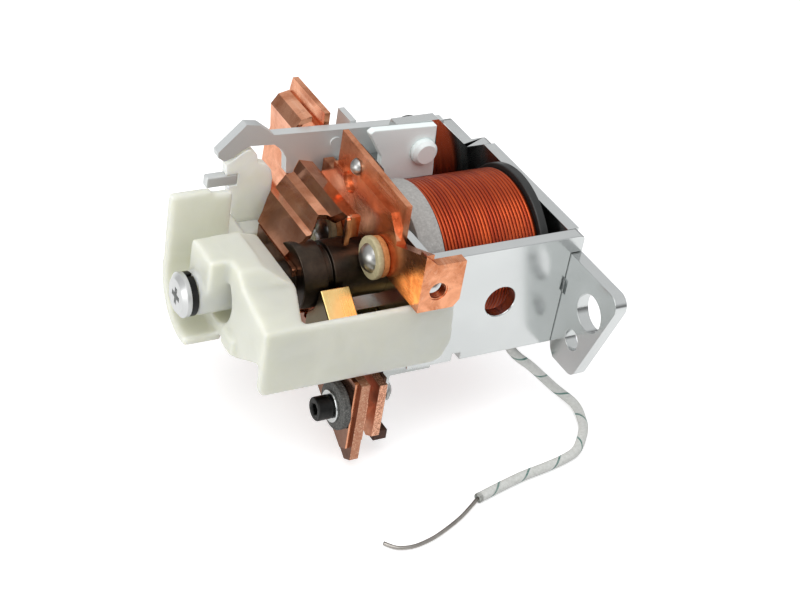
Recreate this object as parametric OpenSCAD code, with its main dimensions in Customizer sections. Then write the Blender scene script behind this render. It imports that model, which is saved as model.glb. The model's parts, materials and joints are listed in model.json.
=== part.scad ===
// Starter solenoid: open-frame control relay with a sliding armature, a copper contact bridge,
// a moulded nylon holder, a release lever and a latch pawl.
// X runs along the coil axis, the mounting face is the plane X = 0, Z is up.
// The origin is the middle of the two mounting ear holes.

/* [Yoke] */
// thickness of the yoke sheet
sheet_t = 3; // [2.8:0.1:3.2]
// outside width across the two side plates
yoke_w = 44; // [43.6:0.2:45]
// height of the side plates
yoke_h = 29; // [28:0.5:30]
// length of the side plates from the mounting face
yoke_len = 41; // [40.5:0.1:41.3]
// diameter of the round window in the near side plate
window_d = 7.7; // [6:0.1:9]

/* [Mounting ears] */
// distance between the two mounting holes
ear_span = 65.6; // [64:0.2:68]
// diameter of each mounting hole
ear_hole_d = 9; // [8.4:0.1:9.6]
// diameter of each locating hole
locating_d = 5; // [4:0.1:5.6]
// corner radius of the ears
ear_r = 4.2; // [3.5:0.1:4.8]
// height of the mounting holes above the coil axis
ear_lift = 1; // [0:0.1:2]

/* [Coil] */
// gap between the rear flange and the side plates
coil_gap = 0.7; // [0.5:0.1:1.2]
// how far the rear flange stands above the winding
flange_lip = 0.9; // [0.5:0.1:1.4]
// pitch of the winding wire
wire_pitch = 0.87; // [0.8:0.01:1]
// diameter of the plunger
plunger_d = 14; // [13:0.2:14.2]
// diameter of the collar at the front of the plunger
collar_d = 15.2; // [14.6:0.2:16]

/* [Contacts] */
// thickness of the fixed copper bars
bar_t = 2.5; // [2.2:0.1:2.6]
// open gap between the moving and the fixed contacts
contact_gap = 2.2; // [2:0.1:2.4]
// thickness of the bridge sheet
leaf_t = 1; // [0.8:0.05:1.1]
// tapped hole of the terminal lug
terminal_d = 4.2; // [3.4:0.1:5]

/* [Lever] */
// thickness of the release lever
lever_t = 2.5; // [2:0.1:2.6]
// diameter of the lever pin
pin_d = 6.4; // [5.6:0.1:6.8]

/* [Hidden] */
$fn = 48;
// fits
slide_fit = 0.06;
run_fit = 0.05;
press_gap = 0.02;
clear = 0.3;
eps = 0.01;
// yoke lines
half_w = yoke_w / 2;
in_w = half_w - sheet_t;
half_h = yoke_h / 2;
wall_x = -sheet_t;
front_x = -yoke_len;
ear_top = 10;
ear_y = ear_span / 2;
knob_z = ear_top + 0.1;
notch_w = 2;
// coil lines, from the mounting face
hub_x = wall_x - clear;
flange_t = 2.2;
flange_x = wall_x - 1.6;
wind_x1 = flange_x - flange_t;
disc_t = 3.4;
wind_x0 = front_x + 11;
flange_r = in_w - coil_gap;
winding_r = flange_r - flange_lip;
disc_r = winding_r + 0.5;
plunger_r = plunger_d / 2;
sleeve_t = 0.5;
tube_r = plunger_r + 2.5;
core_x0 = -14;
core_gap = 4;
spring_bore = 4.2;
spring_depth = 4.5;
turns = floor((wind_x1 - wind_x0) / wire_pitch);
// front lines, from the front end of the side plates
plate_t = 2;
plate_x1 = 2.5;
plate_x0 = plate_x1 - plate_t;
board_t = 1.5;
bar_x1 = plate_x0 - board_t;
bar_x0 = bar_x1 - bar_t;
panel_h = 1.1;
rivet_r = 1.6;
rivet_y = -9.2;
rivet_z = 8.4;
far_rivet_y = 12.4;
far_rivet_z = 2;
bush_r = 2.4;
dome_y = 8.1;
dome_z = 20.7;
dome_r = 1.2;
rod_gap_r = plunger_r + 0.8;
lug_y = -half_w - 5;
lug_z = 5.4;
lug_top = 20.6;
bar_top = 24.8;
bar_far = half_w + 21;
cream_t = 1.5;
brown_t = 1.5;
cap_x = bar_x0 - brown_t - cream_t;
// lower fixed stack, from the front end of the side plates
low_x = -5;
low_t = 2;
low_ins_t = 0.8;
low_bar_x0 = low_x - low_ins_t - low_t;
low_rivet_y = half_w - 4;
low_rivet_r = 1.5;
stack_z = -22;
// moving contact
bridge_x = bar_x0 - contact_gap;
pad_t = 1.2;
pad_x1 = low_bar_x0 - contact_gap;
foot_t = 2.2;
foot_x0 = pad_x1 - pad_t - foot_t;
leaf_x0 = foot_x0 - leaf_t;
leaf_back = bridge_x - 15.6;
stack_y = half_w - 2;
screw_r = 1.5;
fibre_t = 2;
washer_t = 0.8;
head_t = 3.6;
head_x = leaf_x0 - fibre_t - washer_t;
// plunger lines, from the front end of the side plates
collar_r = collar_d / 2;
collar_x0 = -20.2;
collar_x1 = -14.3;
groove_x1 = -12.4;
neck_r = 3.6;
// holder
arm_in = half_w + clear;
arm_out = arm_in + 1.8;
bar_in = -25;
bar_front = -37.6;
seat_x = -43.6;
seat_washer = 1.6;
washer_r = 4.9;
boss_r = 6.8;
screw_head_t = 1;
shell_r = 12.3;
shell_t = 2.2;
arm_z0 = -12;
arm_z1 = 4.7;
// lever and pawl, from the front end of the side plates
pin_x = 19.7;
pin_z = 16.6;
pin_r = pin_d / 2;
lever_y0 = half_w + 0.4;
lever_y1 = lever_y0 + lever_t;
bracket_t = 2;
pawl_x = -20.6;
pawl_z = -2;
pawl_pin_r = 1.5;
lug_face = half_w - 0.1;
// route of the coil lead, axis frame
lead_pts = [[-13, -11.4, -12.4], [-9.5, -17, -19.3], [-3.2, -18, -25], [4.6, -18.4, -32.6],
    [8.8, -22.2, -35.8], [7.4, -27.9, -36], [5.2, -31.8, -36], [0.3, -36.8, -36], [-4, -38.7, -36],
    [-10.3, -40, -36], [-17.2, -41, -36], [-24.3, -42.6, -36], [-31, -44.3, -36]];
wire_pts = [[-31, -44.3, -36], [-37.2, -47.9, -36.6], [-44, -51, -36.6], [-48.2, -52.3, -36.6],
    [-52.1, -52.8, -36.6], [-55.5, -52, -36.6], [-57.6, -49.8, -36.6]];

// the frame of the coil axis, from the mounting face
module on_axis() translate([0, 0, -ear_lift]) children();

// the same frame, from the front end of the side plates
module at_front() translate([front_x, 0, -ear_lift]) children();

// a round bar along X
module xcyl(x0, x1, r) {
    translate([x0, 0, 0])
        rotate([0, 90, 0])
            cylinder(h = x1 - x0, r = r);
}

// a round bar along Y
module ycyl(y0, y1, r) {
    translate([0, y0, 0])
        rotate([-90, 0, 0])
            cylinder(h = y1 - y0, r = r);
}

// a flat outline in Y and Z, thick along X
module xplate(x0, x1) {
    translate([x0, 0, 0])
        rotate([90, 0, 90])
            linear_extrude(x1 - x0)
                children();
}

// a flat outline in X and Z, thick along Y
module yplate(y0, y1) {
    translate([0, y1, 0])
        rotate([90, 0, 0])
            linear_extrude(y1 - y0)
                children();
}

// an outline about the axis in X and radius
module turned() {
    rotate([0, 90, 0])
        rotate_extrude()
            children();
}

// a box from its two corners
module box(a, b) {
    translate(a)
        cube(b - a);
}

// one ear outline, on the far side
module ear_2d() {
    cy1 = ear_y + 7.4;
    cz1 = ear_top - ear_r;
    cy2 = ear_y - 2.8;
    cz2 = -14.2;
    dy = cy2 - cy1;
    dz = cz2 - cz1;
    len = sqrt(dy * dy + dz * dz);
    ny = -dz / len * ear_r;
    nz = dy / len * ear_r;
    difference() {
        union() {
            polygon([[in_w - 3, -half_h + 0.4], [half_w - 0.4, -half_h + 0.4],
                [half_w + 0.6, -half_h - 1.6],
                [cy2 - 5, cz2 - ear_r], [cy2, cz2 - ear_r], [cy2 + ny, cz2 + nz], [cy1 + ny, cz1 + nz],
                [cy1, ear_top], [in_w - 3, ear_top]]);
            translate([cy1, cz1])
                circle(r = ear_r);
            translate([cy2, cz2])
                circle(r = ear_r);
        }
        translate([ear_y, ear_lift])
            circle(d = ear_hole_d);
        translate([ear_y - 3.6, -8.9])
            circle(d = locating_d);
        translate([half_w, -0.5])
            square([1.2, 3.8]);
    }
}

module mounting_plate() {
    color([0.82, 0.83, 0.84])
        on_axis()
            xplate(wall_x, 0)
                difference() {
                    union() {
                        translate([-in_w + press_gap, -half_h])
                            square([2 * in_w - 2 * press_gap, yoke_h]);
                        translate([-half_w, -half_h])
                            square([yoke_w, half_h + ear_top]);
                        ear_2d();
                        mirror([1, 0])
                            ear_2d();
                    }
                    circle(r = spring_bore);
                }
}

// the common side plate outline, with its top tongue over the mounting plate
module side_2d() {
    tongue_r = 1.5;
    difference() {
        union() {
            translate([front_x, -half_h])
                square([yoke_len - sheet_t - press_gap, yoke_h]);
            translate([wall_x - 1, knob_z])
                square([1 - wall_x, half_h - knob_z - tongue_r]);
            translate([wall_x - 1, half_h - tongue_r])
                square([1 - wall_x - tongue_r, tongue_r]);
            translate([-tongue_r, half_h - tongue_r])
                circle(r = tongue_r);
        }
        translate([front_x + 11.5, -half_h - 1])
            square([notch_w, notch_w + 1]);
    }
}

module near_side_plate() {
    color([0.83, 0.84, 0.85])
        on_axis()
            yplate(-half_w, -in_w)
                difference() {
                    side_2d();
                    translate([-19.5, 0])
                        circle(d = window_d);
                }
}

module far_side_plate() {
    cheek_top = pin_z + 4;
    color([0.83, 0.84, 0.85])
        on_axis()
            yplate(in_w, half_w)
                difference() {
                    union() {
                        side_2d();
                        translate([front_x + pin_x, 0])
                            polygon([[-8.7, half_h - 1], [8.8, half_h - 1], [6.8, cheek_top],
                                [-6.7, cheek_top]]);
                    }
                    translate([front_x + pin_x, pin_z])
                        circle(r = pin_r);
                }
}

module pivot_bracket() {
    low = half_h - 5.3;
    tongue = wall_x - 3.9 - front_x - pin_x;
    color([0.85, 0.86, 0.87])
        at_front()
            yplate(in_w - bracket_t, in_w)
                translate([pin_x, 0])
                    difference() {
                        polygon([[-13.3, 23.5], [-14.8, 22.2], [-10.7, 16.6], [-10.1, low + 2.2],
                            [-9.7, low],
                            [4.7, low], [4.7, half_h - 1.6], [tongue, half_h - 1.6],
                            [tongue, half_h - 0.2],
                            [4.5, half_h - 0.2], [3.7, 23.2]]);
                        translate([0, pin_z])
                            circle(r = pin_r);
                    }
}

module front_plate() {
    color([0.8, 0.81, 0.82])
        at_front()
            xplate(plate_x0, plate_x1)
                difference() {
                    translate([-in_w + press_gap, -half_h])
                        square([2 * in_w - 2 * press_gap, yoke_h]);
                    circle(r = plunger_r + slide_fit);
                    translate([rivet_y, rivet_z])
                        circle(r = rivet_r);
                    translate([far_rivet_y, far_rivet_z])
                        circle(r = rivet_r);
                }
}

module pole_core() {
    color([0.6, 0.6, 0.62])
        on_axis()
            difference() {
                union() {
                    xcyl(core_x0, wall_x - press_gap, plunger_r);
                    xcyl(wall_x - 1, -press_gap, spring_bore - press_gap);
                }
                xcyl(core_x0 - 1, core_x0 + spring_depth, spring_bore);
            }
}

module coil_bobbin() {
    tube_x0 = wind_x0 - disc_t - 1.2;
    color([0.13, 0.14, 0.14])
        on_axis()
            difference() {
                union() {
                    xcyl(tube_x0, hub_x, tube_r);
                    xcyl(wind_x1, flange_x, flange_r);
                }
                xcyl(tube_x0 - 1, hub_x + 1, plunger_r + sleeve_t + press_gap);
            }
}

module front_disc() {
    color([0.68, 0.7, 0.69])
        on_axis()
            difference() {
                xcyl(wind_x0 - disc_t, wind_x0, disc_r);
                xcyl(wind_x0 - disc_t - 1, wind_x0 + 1, tube_r + press_gap);
            }
}

module coil_winding() {
    span = wind_x1 - wind_x0 - 0.1;
    step = span / turns;
    groove = 0.2;
    color([0.72, 0.27, 0.12])
        on_axis()
            translate([wind_x0 + 0.05, 0, 0])
                turned()
                    polygon(concat([[tube_r + press_gap, 0]],
                        [for (i = [0 : turns - 1]) each [[winding_r - groove, i * step],
                            [winding_r, (i + 0.3) * step], [winding_r, (i + 0.7) * step]]],
                        [[winding_r - groove, span], [tube_r + press_gap, span]]));
}

module guide_sleeve() {
    sleeve_x0 = front_x + plate_x1 + 0.3;
    color([0.8, 0.62, 0.3])
        on_axis()
            difference() {
                xcyl(sleeve_x0, core_x0 + 6, plunger_r + sleeve_t);
                xcyl(sleeve_x0 - 1, core_x0 + 7, plunger_r + slide_fit);
            }
}

// the holes that the upper contact and its board share
module board_holes(rivet) {
    circle(r = rod_gap_r);
    translate([rivet_y, rivet_z])
        circle(r = rivet);
    translate([far_rivet_y, far_rivet_z])
        circle(r = rivet);
    translate([dome_y, dome_z])
        circle(r = dome_r);
}

// outline of the upper bar with the notch for the lever and the far end
module bar_2d() {
    leg_z = -3;
    notch_y0 = 13;
    notch_y1 = half_w + 3.6;
    notch_z = 9.6;
    near_y = -14.5;
    polygon([[lug_y, lug_z], [7.6, lug_z], [7.6, leg_z], [17.2, leg_z], [17.2, lug_z],
        [bar_far - 1, lug_z], [bar_far + 1, 20.4], [bar_far, bar_top - 0.4], [notch_y1, bar_top - 0.4],
        [notch_y1, notch_z], [17, notch_z], [17, lug_top], [14.6, lug_top], [14.6, 16.8],
        [notch_y0, 16.8],
        [notch_y0, bar_top], [near_y, bar_top], [near_y, 14], [near_y - 6.1, 14], [near_y - 6.1, lug_top],
        [lug_y, lug_top]]);
}

// the raised part of the bar: it ends below the top band and leaves a round seat for the small rivet
module panel_2d() {
    panel_top = 20.3;
    seat_r = 3.2;
    seat_z = 17.4;
    difference() {
        polygon([[lug_y, -4], [bar_far + 2, -4], [bar_far + 2, panel_top], [-10.4, panel_top],
            [-14.9, 15.2],
            [-20, 15.2], [-20, lug_top + 1], [lug_y, lug_top + 1]]);
        translate([dome_y + 0.5, seat_z])
            circle(r = seat_r);
        translate([dome_y + 0.5 - seat_r, seat_z])
            square([12.1, panel_top - seat_z + 1]);
    }
}

// the upper fixed contact: bar, raised contact panel, and the terminal lug outside the yoke
module upper_contact() {
    lug_end = 6.7;
    lug_step = 17.1;
    color([0.78, 0.42, 0.26])
        at_front() {
            difference() {
                union() {
                    xplate(bar_x0 + panel_h, bar_x1)
                        bar_2d();
                    xplate(bar_x0, bar_x1)
                        intersection() {
                            bar_2d();
                            panel_2d();
                        }
                }
                xplate(bar_x0 - 1, bar_x1 + 1)
                    board_holes(bush_r);
            }
            yplate(lug_y, lug_y + bar_t)
                difference() {
                    polygon([[bar_x0, lug_z], [lug_end - 1.4, lug_z], [lug_end, lug_z + 1.8],
                        [lug_end, lug_step],
                        [0.1, lug_step], [-2.7, lug_top], [bar_x0, lug_top]]);
                    translate([0.9, 10.3])
                        circle(d = terminal_d);
                }
        }
}

module upper_insulator() {
    color([0.3, 0.18, 0.12])
        at_front()
            xplate(bar_x1, plate_x0)
                difference() {
                    polygon([[-14.4, 3.2], [-6, 3.2], [-6, -4], [17, -4], [17, 8], [12.6, 15.8],
                        [12.6, 23.6],
                        [1.6, 23.6], [-6, 13.6], [-14.4, 12]]);
                    board_holes(rivet_r);
                }
}

// places one child at each insulated rivet
module at_rivets() {
    translate([0, rivet_y, rivet_z])
        children();
    translate([0, far_rivet_y, far_rivet_z])
        children();
}

module insulated_rivets() {
    color([0.72, 0.73, 0.74])
        at_front()
            at_rivets() {
                xcyl(cap_x, plate_x1, rivet_r - press_gap);
                xcyl(plate_x1, plate_x1 + 0.9, rivet_r + 1);
                translate([cap_x, 0, 0])
                    intersection() {
                        translate([2, 0, 0])
                            sphere(r = 3.9);
                        xcyl(-2, 0, 3.4);
                    }
            }
}

module cream_washers() {
    color([0.85, 0.8, 0.64])
        at_front()
            at_rivets()
                difference() {
                    xcyl(cap_x, cap_x + cream_t, 4.9);
                    xcyl(cap_x - 1, bar_x0, rivet_r);
                }
}

module brown_washers() {
    color([0.8, 0.5, 0.28])
        at_front()
            at_rivets()
                difference() {
                    union() {
                        xcyl(cap_x + cream_t, bar_x0, 4.7);
                        xcyl(bar_x0 - eps, bar_x1, bush_r - press_gap);
                    }
                    xcyl(cap_x, bar_x1 + 1, rivet_r);
                }
}

module bar_rivet() {
    face = bar_x0 + panel_h;
    head_r = 2;
    color([0.75, 0.76, 0.74])
        at_front()
            translate([0, dome_y, dome_z]) {
                xcyl(face - eps, plate_x0, dome_r - press_gap);
                xcyl(plate_x0, plate_x0 + 0.7, head_r - 0.1);
                translate([face, 0, 0])
                    intersection() {
                        translate([0.6, 0, 0])
                            sphere(r = head_r + 0.1);
                        xcyl(-head_r, 0, head_r);
                    }
            }
}

// places one child at each lower rivet
module at_low_rivets() {
    for (s = [-1, 1])
        translate([0, s * low_rivet_y, stack_z])
            children();
}

module lower_bracket() {
    leg_y = half_w - 1.5;
    foot_end = wind_x0 - disc_t - front_x - 0.4;
    color([0.84, 0.85, 0.86])
        at_front()
            difference() {
                union() {
                    box([low_x, -leg_y, -30], [low_x + 2, leg_y, -half_h]);
                    box([low_x, -leg_y, -half_h - 2], [foot_end, leg_y, -half_h]);
                }
                at_low_rivets()
                    xcyl(low_x - 1, low_x + 3, low_rivet_r);
            }
}

module lower_contact() {
    color([0.76, 0.4, 0.25])
        at_front()
            difference() {
                xplate(low_bar_x0, low_bar_x0 + low_t)
                    blade_2d(half_w + 2.5, -15.2, -31, -24);
                at_low_rivets()
                    xcyl(low_bar_x0 - 1, low_bar_x0 + low_t + 1, low_rivet_r);
            }
}

module lower_insulator() {
    color([0.3, 0.18, 0.12])
        at_front()
            difference() {
                xplate(low_x - low_ins_t, low_x)
                    blade_2d(half_w + 0.4, -15, -30.4, -24);
                at_low_rivets()
                    xcyl(low_x - low_ins_t - 1, low_x + 1, low_rivet_r);
            }
}

// a contact blade: straight top, two legs, and a bottom edge that rises to the middle
module blade_2d(y, top, bottom, middle) {
    polygon([[-y, top], [-y, bottom + 1.5], [-y + 2.5, bottom], [-9, middle], [9, middle],
        [y - 2.5, bottom], [y, bottom + 1.5], [y, top]]);
}

module lower_rivets() {
    head_r = 2.7;
    color([0.74, 0.75, 0.76])
        at_front()
            at_low_rivets() {
                xcyl(low_bar_x0 + 0.3, low_x + 2.2, low_rivet_r - press_gap);
                xcyl(low_x + 2, low_x + 2.7, head_r);
                translate([low_x + 2.7 - eps, 0, 0])
                    rotate([0, 90, 0])
                        cylinder(h = 1, r1 = head_r, r2 = head_r - 1.1);
            }
}

module insulating_strip() {
    color([0.14, 0.1, 0.08])
        at_front()
            box([low_bar_x0 + low_t, -half_w - 0.4, -33],
                [low_x + 2.6, -half_w + 5.4, -30.4 - press_gap]);
}

// the brass stop that cradles the collar of the plunger, on a foot from the front plate
module brass_stop() {
    cradle_r = collar_r + 0.5;
    base = -12.4;
    color([0.85, 0.66, 0.3])
        at_front()
            difference() {
                union() {
                    xplate(-16, -11)
                        polygon([[-4, base], [-4, -8], [-8.6, 1.4], [-15.2, -3.6], [-16.6, -7],
                            [-16.6, base]]);
                    box([-16, -16.6, base], [plate_x0, -4, base + 3]);
                }
                xcyl(-17, plate_x0 + 1, cradle_r);
            }
}

module lever_pin() {
    tip = 0.8;
    color([0.86, 0.87, 0.88])
        at_front()
            translate([pin_x, 0, pin_z]) {
                ycyl(in_w - bracket_t - 1.4, lever_y1 + 1.4, pin_r - press_gap);
                translate([0, in_w - bracket_t - 1.4 - tip, 0])
                    rotate([-90, 0, 0])
                        cylinder(h = tip + eps, r1 = pin_r - tip, r2 = pin_r - press_gap);
            }
}

module pin_clip() {
    clip_t = 0.8;
    color([0.35, 0.35, 0.36])
        at_front()
            translate([pin_x, 0, pin_z])
                difference() {
                    ycyl(lever_y1 + clear, lever_y1 + clear + clip_t, pin_r + 1.2);
                    ycyl(lever_y1, lever_y1 + 2, pin_r);
                    translate([-1.2, lever_y1, -pin_r - 3])
                        cube([2.4, 2, 4]);
                }
}

function unit(v) = v / norm(v);
function spline(p, n) = [for (i = [0 : len(p) - 2], k = [0 : n - 1])
    let (a = p[max(i - 1, 0)], b = p[i], c = p[i + 1], d = p[min(i + 2, len(p) - 1)], t = k / n)
    0.5 * (2 * b + (c - a) * t + (2 * a - 5 * b + 4 * c - d) * t * t
        + (3 * b - a - 3 * c + d) * t * t * t)];
function tangent(p, i) = unit(p[min(i + 1, len(p) - 1)] - p[max(i - 1, 0)]);
function ring(c, t, r, n) = let (u = unit(cross(t, [0.2, 0.1, 1])), v = cross(t, u))
    [for (k = [0 : n - 1]) c + r * (u * cos(360 * k / n) + v * sin(360 * k / n))];

// a round cord along a list of points
module cord(p, r, n) {
    m = len(p);
    pts = [for (i = [0 : m - 1]) each ring(p[i], tangent(p, i), r, n)];
    sides = [for (i = [0 : m - 2], k = [0 : n - 1])
        [i * n + k, (i + 1) * n + k, (i + 1) * n + (k + 1) % n, i * n + (k + 1) % n]];
    ends = [[for (k = [0 : n - 1]) k], [for (k = [n - 1 : -1 : 0]) (m - 1) * n + k]];
    polyhedron(points = pts, faces = concat(sides, ends));
}

module lead_sleeve() {
    color([0.85, 0.85, 0.8])
        on_axis()
            cord(concat(spline(lead_pts, 3), [lead_pts[len(lead_pts) - 1]]), 1.15, 8);
}

module lead_wire() {
    color([0.6, 0.59, 0.56])
        on_axis()
            cord(concat(spline(wire_pts, 3), [wire_pts[len(wire_pts) - 1]]), 0.45, 8);
}

// the plunger: body in the coil, groove, front collar and neck for the holder
module armature() {
    plunger_x1 = core_x0 - core_gap - front_x;
    color([0.36, 0.35, 0.34])
        at_front()
            difference() {
                union() {
                    xcyl(groove_x1, plunger_x1, plunger_r);
                    xcyl(collar_x1 - eps, groove_x1 + eps, plunger_r - 1);
                    xcyl(collar_x0, collar_x1, collar_r);
                    xcyl(seat_x + 0.4, collar_x0 + eps, neck_r);
                }
                xcyl(plunger_x1 - 6, plunger_x1 + 1, spring_bore);
                xcyl(seat_x - 1, seat_x + 14, 2.5);
            }
}

// a helical spring along X between the plunger and the pole core
module return_spring() {
    wire_r = 0.45;
    coil_r = spring_bore - 0.9;
    coils = 6;
    sides = 16;
    x0 = core_x0 - core_gap - 6 + wire_r + press_gap;
    x1 = core_x0 + spring_depth - wire_r - press_gap;
    pts = [for (i = [0 : sides * coils])
        [x0 + (x1 - x0) * i / (sides * coils), coil_r * cos(360 * i / sides),
            coil_r * sin(360 * i / sides)]];
    color([0.55, 0.56, 0.58])
        on_axis()
            cord(pts, wire_r, 8);
}

// the moulded holder: screw boss, shell, sloped shoulder, crossbar and two guide arms
module nylon_holder() {
    crown = 10.6;
    shoulder = 6.6;
    house_y = 12;
    arm_x0 = bar_front + 0.2;
    arm_x1 = 9;
    shell_x0 = -45.5;
    low_z = -10;
    ledge_z = -6.6;
    color([0.88, 0.88, 0.83])
        at_front()
            difference() {
                union() {
                    intersection() {
                        yplate(-house_y, house_y)
                            polygon([[bar_front, low_z], [bar_in, low_z], [bar_in, shoulder],
                                [bar_in - 7, crown],
                                [bar_front, crown]]);
                        xplate(bar_front, bar_in)
                            polygon([[-house_y, low_z], [house_y, low_z], [house_y, 3], [10.2, 4.6],
                                [5, crown],
                                [-9, crown], [-house_y, 8]]);
                    }
                    xcyl(seat_x, bar_in, boss_r);
                    hull() {
                        yplate(-house_y - 0.2, -house_y + 0.2)
                            polygon([[bar_front, low_z], [bar_in - 8, low_z], [bar_in, -4],
                                [bar_in, shoulder],
                                [bar_front, 8]]);
                        yplate(-arm_out, -arm_out + 0.4)
                            polygon([[arm_x0, -3.4], [bar_in - 3.7, -3.4], [bar_in - 3.7, arm_z1],
                                [arm_x0, arm_z1]]);
                    }
                    yplate(house_y - 1, lug_face)
                        polygon([[bar_front, -4], [bar_in, -4], [bar_in, 3.4], [bar_in - 2, 5.4],
                            [bar_front + 2, 5.4], [bar_front, 3.4]]);
                    yplate(-arm_out, -arm_in)
                        polygon([[arm_x0 + 1.2, arm_z0], [5, arm_z0], [7.2, -11], [arm_x1, ledge_z],
                            [8, 3.5],
                            [7.5, arm_z1], [arm_x0, arm_z1], [arm_x0, arm_z0 + 2]]);
                    yplate(arm_in, arm_out)
                        polygon([[arm_x0, arm_z0], [arm_x1, arm_z0], [arm_x1, ledge_z],
                            [arm_x0, ledge_z]]);
                    box([arm_x0, half_w - 6, arm_z0], [bar_in, arm_out, ledge_z]);
                    box([arm_x0, half_w - 6, ledge_z - 0.4], [bar_in, lug_face, -3]);
                    difference() {
                        xcyl(shell_x0, bar_front + 1, shell_r);
                        xcyl(shell_x0 - 1, bar_front + 2, shell_r - shell_t);
                        box([shell_x0 - 1, -20, 3], [bar_front + 2, 20, 20]);
                        box([shell_x0 - 1, -20, -20], [bar_front + 2, -2.8, 20]);
                    }
                    box([shell_x0, house_y - shell_t, 2.5], [bar_in - 6, house_y, 18.5]);
                    box([bar_in - 1, 9.6, -9], [leaf_back, 15.4, -1.4]);
                    box([bar_in - 1, 16.6, -6], [-18.2, lug_face, 1.2]);
                }
                xcyl(seat_x - 1, bar_in + 1, neck_r + press_gap);
                translate([pawl_x, 0, pawl_z])
                    ycyl(17.5, half_w, pawl_pin_r);
            }
}

module holder_screw() {
    head_r = 5;
    slot = 2;
    face = seat_x - seat_washer - screw_head_t;
    color([0.75, 0.76, 0.77])
        at_front()
            difference() {
                union() {
                    xcyl(seat_x - seat_washer, seat_x + 12, 2.5 - press_gap);
                    xcyl(face, seat_x - seat_washer, head_r);
                    translate([face + eps, 0, 0])
                        rotate([0, -90, 0])
                            cylinder(h = 0.9, r1 = head_r, r2 = head_r - 1.2);
                }
                for (a = [0, 90])
                    rotate([a, 0, 0])
                        box([face - 2, -0.6, -slot], [face + 0.6, 0.6, slot]);
            }
}

module lock_washer() {
    color([0.1, 0.1, 0.1])
        at_front()
            difference() {
                xcyl(seat_x - seat_washer, seat_x, washer_r);
                xcyl(seat_x - 3, seat_x + 1, 3.2);
                box([seat_x - 3, -0.4, 2], [seat_x + 1, 0.4, washer_r + 1]);
            }
}

// the stepped copper bridge: leaf over the plunger, clamp plate on its neck, far head beyond the
// lever, tail
module contact_bridge() {
    bx = bridge_x;
    lx = leaf_x0;
    cx = leaf_back;
    t = leaf_t;
    clamp_y0 = 1.4;
    clamp_y1 = 15.4;
    tail_z = -12;
    head_y0 = half_w + 3.4;
    head_y1 = half_w + 16;
    web_y = half_w - 5.4;
    web_z = -0.5;
    steps = [[0, 15.5], [-3, 14.6], [-5.2, 12.3], [-6.7, 11.9], [-10, 9.4], [-12, 9.4], [-13.9, 5.9],
        [-15.6, 4.6]];
    below = [for (i = [len(steps) - 1 : -1 : 0]) steps[i] + t * [0.5, -1]];
    color([0.82, 0.45, 0.28])
        at_front()
            difference() {
                union() {
                    intersection() {
                        yplate(-half_w, half_w)
                            translate([bx, 0])
                                polygon(concat(steps, below));
                        translate([bx, 0, 0])
                            linear_extrude(half_w)
                                polygon([[0, -2.3], [0, lug_face], [-6.7, lug_face], [-10, 19],
                                    [-12, 16], [-13.9, 14.5],
                                    [-16, 13], [-16, clamp_y0], [-13.9, 1.8], [-12, 1], [-10, 1.1],
                                    [-6.7, 4.7],
                                    [-5.2, 3.6], [-3, -1.6]]);
                    }
                    xplate(cx, cx + t)
                        polygon([[-8, tail_z], [clamp_y1, tail_z], [clamp_y1, 4.6], [clamp_y0, 4.6],
                            [-2.6, 4],
                            [-6.4, 1.5], [-8, -3]]);
                    box([cx, clamp_y0, tail_z], [lx + t, clamp_y1, tail_z + t]);
                    xplate(lx, lx + t)
                        union() {
                            blade_2d(half_w + 3, -13, -32.4, -24.8);
                            translate([clamp_y0, tail_z - 2])
                                square([clamp_y1 - clamp_y0, 2 + t]);
                        }
                    yplate(head_y0, head_y1)
                        translate([bx, 0])
                            polygon([[0, 24.2], [-2.6, 23.6], [-4.3, 21.2], [-3.7, 15], [-4.7, 11],
                                [-5.2, web_z],
                                [-4.2, web_z], [-3.6, 11], [-2.7, 15], [-3.2, 20.8], [-2, 22.4],
                                [0, 22.8]]);
                    box([bx - 5.9, web_y, web_z], [bx - 4.9, lug_face, 11.5]);
                    box([bx - 6.4, web_y, web_z], [bx - 4.2, head_y1, 3]);
                }
                at_stack()
                    xcyl(lx - 1, lx + t + 1, screw_r + 0.1);
                xcyl(cx - 1, cx + t + 1, neck_r + press_gap);
                xcyl(cx + t, collar_x1 + clear, collar_r + clear);
            }
}

module bridge_foot() {
    color([0.78, 0.42, 0.26])
        at_front()
            difference() {
                xplate(foot_x0, foot_x0 + foot_t)
                    blade_2d(half_w + 4, -13, -35.3, -26);
                at_stack()
                    xcyl(foot_x0 - 1, foot_x0 + foot_t + 1, screw_r);
            }
}

module contact_pads() {
    pad = 5.5;
    color([0.8, 0.47, 0.33])
        at_front()
            difference() {
                for (s = [-1, 1])
                    translate([0, s * (half_w - 3), stack_z - 2.5])
                        box([pad_x1 - pad_t, -pad, -pad], [pad_x1, pad, pad]);
                at_stack()
                    xcyl(pad_x1 - pad_t - 1, pad_x1 + 1, screw_r);
            }
}

// places one child at each bridge screw
module at_stack() {
    for (s = [-1, 1])
        translate([0, s * stack_y, stack_z])
            children();
}

module bridge_screws() {
    head_r = 2.75;
    color([0.14, 0.14, 0.14])
        at_front()
            at_stack()
                difference() {
                    union() {
                        xcyl(head_x - head_t, head_x, head_r);
                        xcyl(head_x - eps, pad_x1 - 0.3, screw_r - press_gap);
                    }
                    translate([head_x - head_t - 1, 0, 0])
                        rotate([0, 90, 0])
                            cylinder(h = 3, r = 1.45, $fn = 6);
                }
}

module screw_washers() {
    color([0.8, 0.81, 0.82])
        at_front()
            at_stack()
                difference() {
                    xcyl(head_x, head_x + washer_t, 3.7);
                    xcyl(head_x - 1, head_x + washer_t + 1, screw_r + 0.1);
                }
}

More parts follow.
